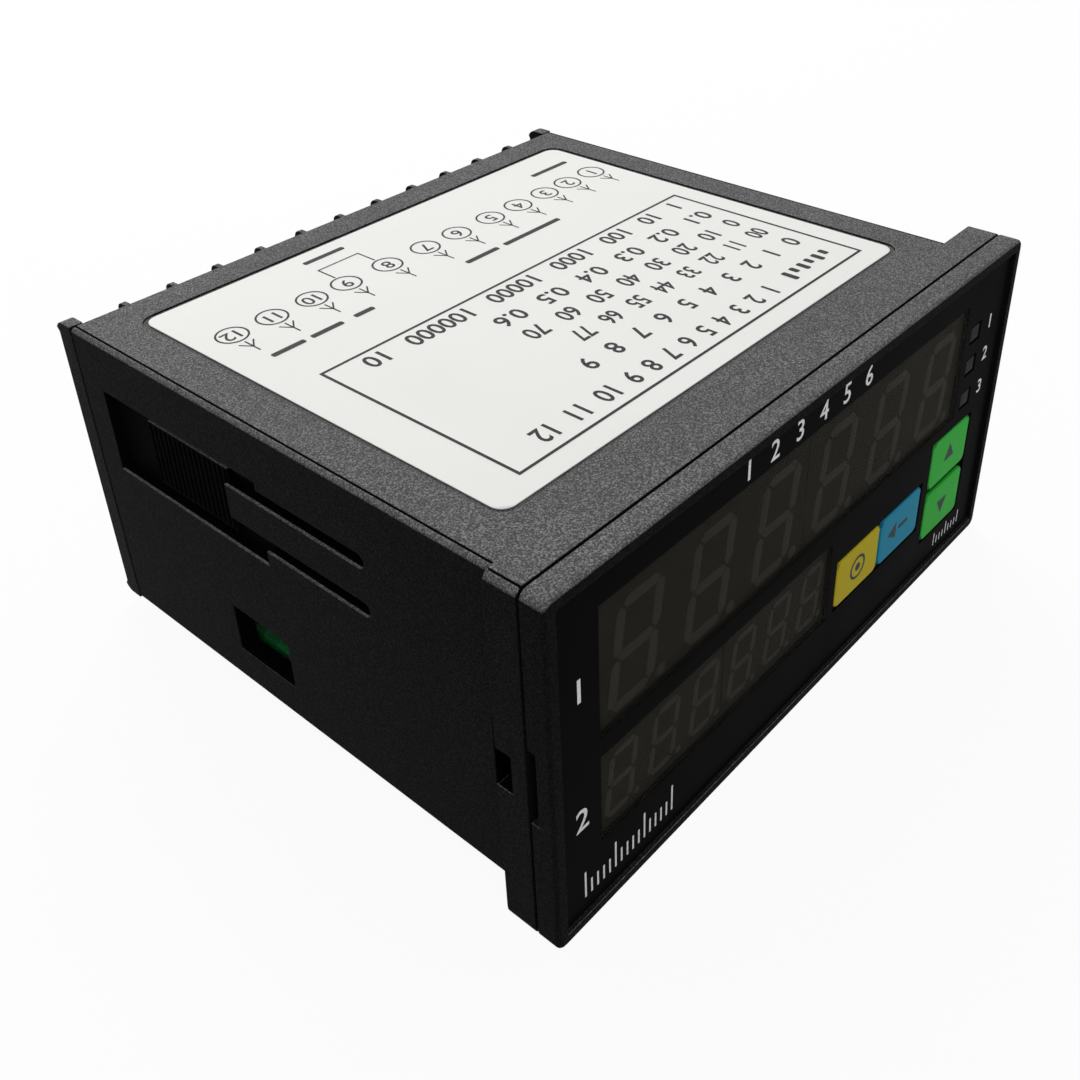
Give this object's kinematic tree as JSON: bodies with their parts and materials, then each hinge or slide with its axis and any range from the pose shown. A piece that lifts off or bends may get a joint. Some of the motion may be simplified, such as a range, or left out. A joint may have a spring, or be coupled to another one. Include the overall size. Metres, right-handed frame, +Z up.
{
  "type": "panel length counter",
  "caption": "Panel-mounted electronic length counter: flanged box with two digit rows, coloured keys, top label, side clip recesses and a screw terminal row at the rear.",
  "frame": {"origin": "bottom centre of the bounding box: middle of the width and of the depth, at the underside of the bezel and flange", "axes": "+X to the right seen from the front, +Y from the front face to the terminals at the rear, +Z up"},
  "size_m": [0.096, 0.0866, 0.048],
  "materials": {
    "casing": "spark-eroded matt black",
    "film": "satin printed film",
    "label": "matt white with dark print",
    "window": "smoked, slightly glossy",
    "digit_module": "satin face with unlit segments",
    "key_yellow": "satin",
    "key_blue": "satin",
    "key_green": "satin",
    "lamp": "clear tinted, unlit",
    "laminate": "green solder mask",
    "black_moulding": "satin moulded",
    "ferrite": "matt dark grey",
    "winding_tape": "yellow tape",
    "capacitor_sleeve": "shrunk sleeve",
    "tinned_brass": "tinned, slightly dull",
    "plated_steel": "zinc plated"
  },
  "bodies": {
    "counter": {"body_shell": "casing", "top_cover": "casing", "rear_cover": "casing", "front_bezel": "casing", "front_film": "film", "rating_label": "label", "upper_window": "window", "lower_window": "window", "upper_digits_left": "digit_module", "upper_digits_right": "digit_module", "lower_digits_left": "digit_module", "lower_digits_right": "digit_module", "indicator_lamp_1": "lamp", "indicator_lamp_2": "lamp", "indicator_lamp_3": "lamp", "display_board": "laminate", "main_board": "laminate", "link_header": "black_moulding", "transformer_core": "ferrite", "transformer_bobbin": "winding_tape", "capacitor_1": "capacitor_sleeve", "capacitor_2": "capacitor_sleeve", "controller_chip": "black_moulding", "input_isolator": "black_moulding", "enter_switch": "black_moulding", "shift_switch": "black_moulding", "up_switch": "black_moulding", "down_switch": "black_moulding", "terminal_lug_01": "tinned_brass", "terminal_lug_02": "tinned_brass", "terminal_lug_03": "tinned_brass", "terminal_lug_04": "tinned_brass", "terminal_lug_05": "tinned_brass", "terminal_lug_06": "tinned_brass", "terminal_lug_07": "tinned_brass", "terminal_lug_08": "tinned_brass", "terminal_lug_09": "tinned_brass", "terminal_lug_10": "tinned_brass", "terminal_lug_11": "tinned_brass", "terminal_lug_12": "tinned_brass"},
    "enter_key": {"enter_key": "key_yellow", "enter_plunger": "black_moulding"},
    "shift_key": {"shift_key": "key_blue", "shift_plunger": "black_moulding"},
    "up_key": {"up_key": "key_green", "up_plunger": "black_moulding"},
    "down_key": {"down_key": "key_green", "down_plunger": "black_moulding"},
    "terminal_screw_01": {"terminal_screw_01": "plated_steel"},
    "terminal_screw_02": {"terminal_screw_02": "plated_steel"},
    "terminal_screw_03": {"terminal_screw_03": "plated_steel"},
    "terminal_screw_04": {"terminal_screw_04": "plated_steel"},
    "terminal_screw_05": {"terminal_screw_05": "plated_steel"},
    "terminal_screw_06": {"terminal_screw_06": "plated_steel"},
    "terminal_screw_07": {"terminal_screw_07": "plated_steel"},
    "terminal_screw_08": {"terminal_screw_08": "plated_steel"},
    "terminal_screw_09": {"terminal_screw_09": "plated_steel"},
    "terminal_screw_10": {"terminal_screw_10": "plated_steel"},
    "terminal_screw_11": {"terminal_screw_11": "plated_steel"},
    "terminal_screw_12": {"terminal_screw_12": "plated_steel"}
  },
  "joints": [
    {"name": "enter_key_press", "type": "slide", "parent": "counter", "child": "enter_key", "axis": [0, 1, 0], "range_m": [0, 0.0005], "stiffness_N_per_m": 2000},
    {"name": "shift_key_press", "type": "slide", "parent": "counter", "child": "shift_key", "axis": [0, 1, 0], "range_m": [0, 0.0005], "stiffness_N_per_m": 2000},
    {"name": "up_key_press", "type": "slide", "parent": "counter", "child": "up_key", "axis": [0, 1, 0], "range_m": [0, 0.0005], "stiffness_N_per_m": 2000},
    {"name": "down_key_press", "type": "slide", "parent": "counter", "child": "down_key", "axis": [0, 1, 0], "range_m": [0, 0.0005], "stiffness_N_per_m": 2000},
    {"name": "terminal_screw_01_loosen", "type": "slide", "parent": "counter", "child": "terminal_screw_01", "axis": [0, 1, 0], "range_m": [0, 0.002]},
    {"name": "terminal_screw_02_loosen", "type": "slide", "parent": "counter", "child": "terminal_screw_02", "axis": [0, 1, 0], "range_m": [0, 0.002]},
    {"name": "terminal_screw_03_loosen", "type": "slide", "parent": "counter", "child": "terminal_screw_03", "axis": [0, 1, 0], "range_m": [0, 0.002]},
    {"name": "terminal_screw_04_loosen", "type": "slide", "parent": "counter", "child": "terminal_screw_04", "axis": [0, 1, 0], "range_m": [0, 0.002]},
    {"name": "terminal_screw_05_loosen", "type": "slide", "parent": "counter", "child": "terminal_screw_05", "axis": [0, 1, 0], "range_m": [0, 0.002]},
    {"name": "terminal_screw_06_loosen", "type": "slide", "parent": "counter", "child": "terminal_screw_06", "axis": [0, 1, 0], "range_m": [0, 0.002]},
    {"name": "terminal_screw_07_loosen", "type": "slide", "parent": "counter", "child": "terminal_screw_07", "axis": [0, 1, 0], "range_m": [0, 0.002]},
    {"name": "terminal_screw_08_loosen", "type": "slide", "parent": "counter", "child": "terminal_screw_08", "axis": [0, 1, 0], "range_m": [0, 0.002]},
    {"name": "terminal_screw_09_loosen", "type": "slide", "parent": "counter", "child": "terminal_screw_09", "axis": [0, 1, 0], "range_m": [0, 0.002]},
    {"name": "terminal_screw_10_loosen", "type": "slide", "parent": "counter", "child": "terminal_screw_10", "axis": [0, 1, 0], "range_m": [0, 0.002]},
    {"name": "terminal_screw_11_loosen", "type": "slide", "parent": "counter", "child": "terminal_screw_11", "axis": [0, 1, 0], "range_m": [0, 0.002]},
    {"name": "terminal_screw_12_loosen", "type": "slide", "parent": "counter", "child": "terminal_screw_12", "axis": [0, 1, 0], "range_m": [0, 0.002]}
  ]
}
